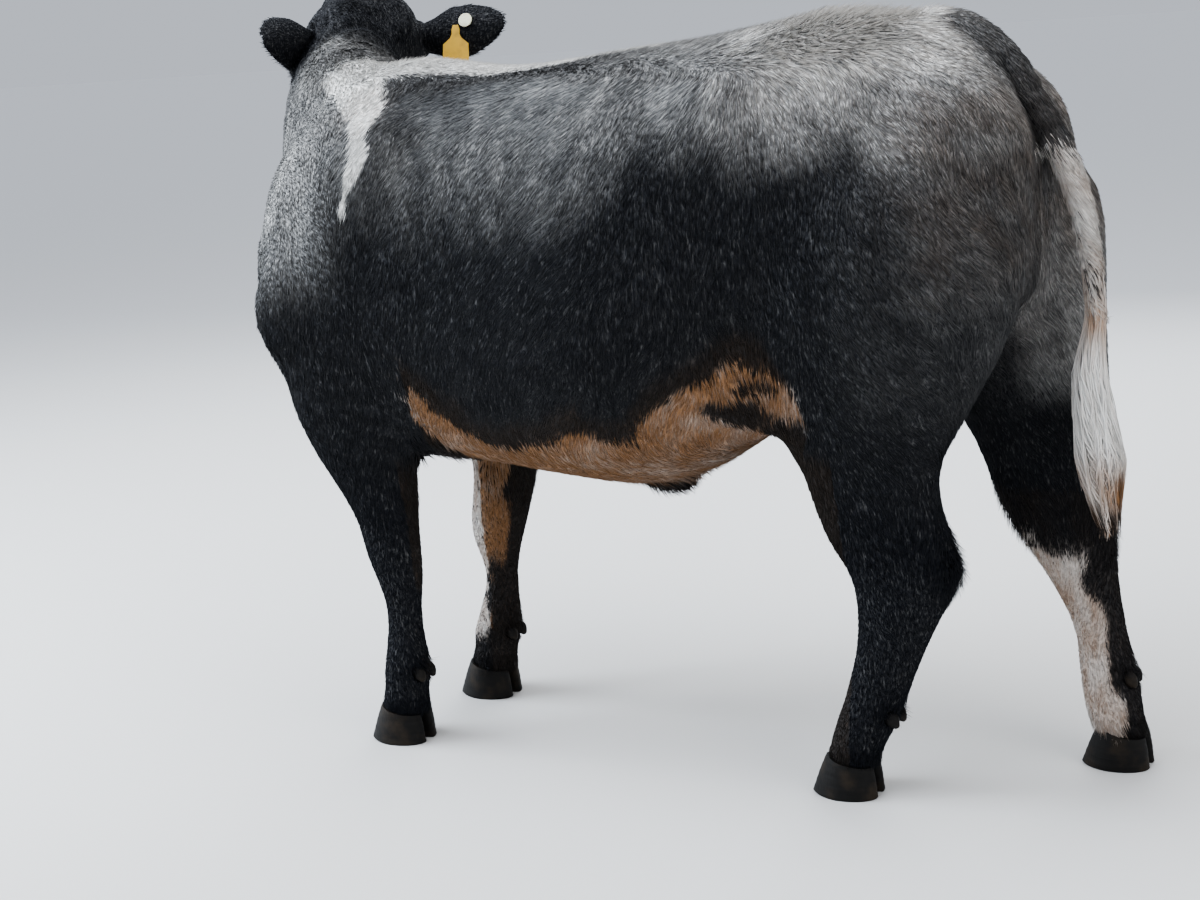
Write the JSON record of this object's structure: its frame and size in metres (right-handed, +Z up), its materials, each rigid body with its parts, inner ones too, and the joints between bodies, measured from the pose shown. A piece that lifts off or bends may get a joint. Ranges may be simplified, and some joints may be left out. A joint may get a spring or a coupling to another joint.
{
  "type": "belgian blue cross heifer",
  "caption": "Standing Belgian Blue cross heifer looking back over its right side, blue roan with white loin and switch, ear tags.",
  "frame": {"origin": "on the floor under the middle of the whole heifer's bounding box", "axes": "+Y from head to tail along the trunk, +X to the animal's left, +Z up; soles on Z = 0"},
  "size_m": [0.9907, 1.9676, 1.4224],
  "materials": {
    "eye": "wet dark brown eye",
    "ear": "short dark hair, grey inside the cup",
    "head": "short dark hair",
    "neck": "blue roan hair with a white patch along the top",
    "torso": "blue roan hair with white over the loin and belly",
    "tail_dock": "dark hair turning white towards the switch",
    "tail_switch": "long white hair, soiled at the tip",
    "hoof": "dull grey-brown horn",
    "tag_flag": "matt yellow plastic, unmarked",
    "tag_button": "matt cream plastic, unmarked",
    "leg": "short black hair"
  },
  "bodies": {
    "root": {"claw_fore_left_inner": "hoof", "claw_fore_left_outer": "hoof", "claw_fore_right_inner": "hoof", "claw_fore_right_outer": "hoof", "claw_hind_left_inner": "hoof", "claw_hind_left_outer": "hoof", "claw_hind_right_inner": "hoof", "claw_hind_right_outer": "hoof", "dewclaw_fore_left_inner": "hoof", "dewclaw_fore_left_outer": "hoof", "dewclaw_fore_right_inner": "hoof", "dewclaw_fore_right_outer": "hoof", "dewclaw_hind_left_inner": "hoof", "dewclaw_hind_left_outer": "hoof", "dewclaw_hind_right_inner": "hoof", "dewclaw_hind_right_outer": "hoof", "ear_left": "ear", "ear_right": "ear", "eye_left": "eye", "eye_right": "eye", "foreleg_lower_left": "leg", "foreleg_lower_right": "leg", "foreleg_upper_left": "leg", "foreleg_upper_right": "leg", "head": "head", "hindleg_lower_left": "leg", "hindleg_lower_right": "leg", "hindleg_upper_left": "leg", "hindleg_upper_right": "leg", "neck": "neck", "tag_button": "tag_button", "tag_flag": "tag_flag", "tail_dock": "tail_dock", "tail_switch": "tail_switch", "torso": "torso"}
  },
  "joints": []
}
